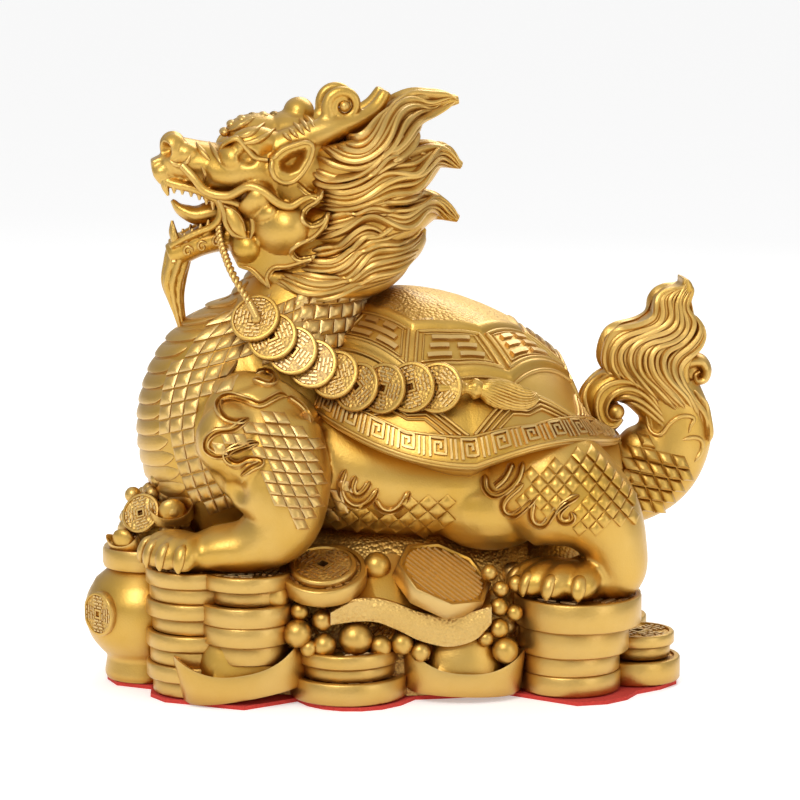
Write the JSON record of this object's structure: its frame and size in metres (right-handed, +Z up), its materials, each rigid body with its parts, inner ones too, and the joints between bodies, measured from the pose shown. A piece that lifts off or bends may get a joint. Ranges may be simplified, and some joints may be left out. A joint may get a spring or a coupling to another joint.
{
  "type": "dragon turtle figure",
  "caption": "Cast figure of a turtle with a dragon's head, waving mane, trigram shell and flaming tail, standing on coin stacks over a treasure heap.",
  "frame": {"origin": "middle of the figure's underside, on the ground", "axes": "+X towards the tail, +Y towards the animal's right, +Z up"},
  "size_m": [0.2001, 0.1174, 0.1866],
  "materials": {
    "brass": "satin, golden on the high parts and browner in the hollows",
    "red_felt": "matt nap"
  },
  "bodies": {
    "root": {"dragon_turtle": "brass", "felt_pad": "red_felt"}
  },
  "joints": []
}
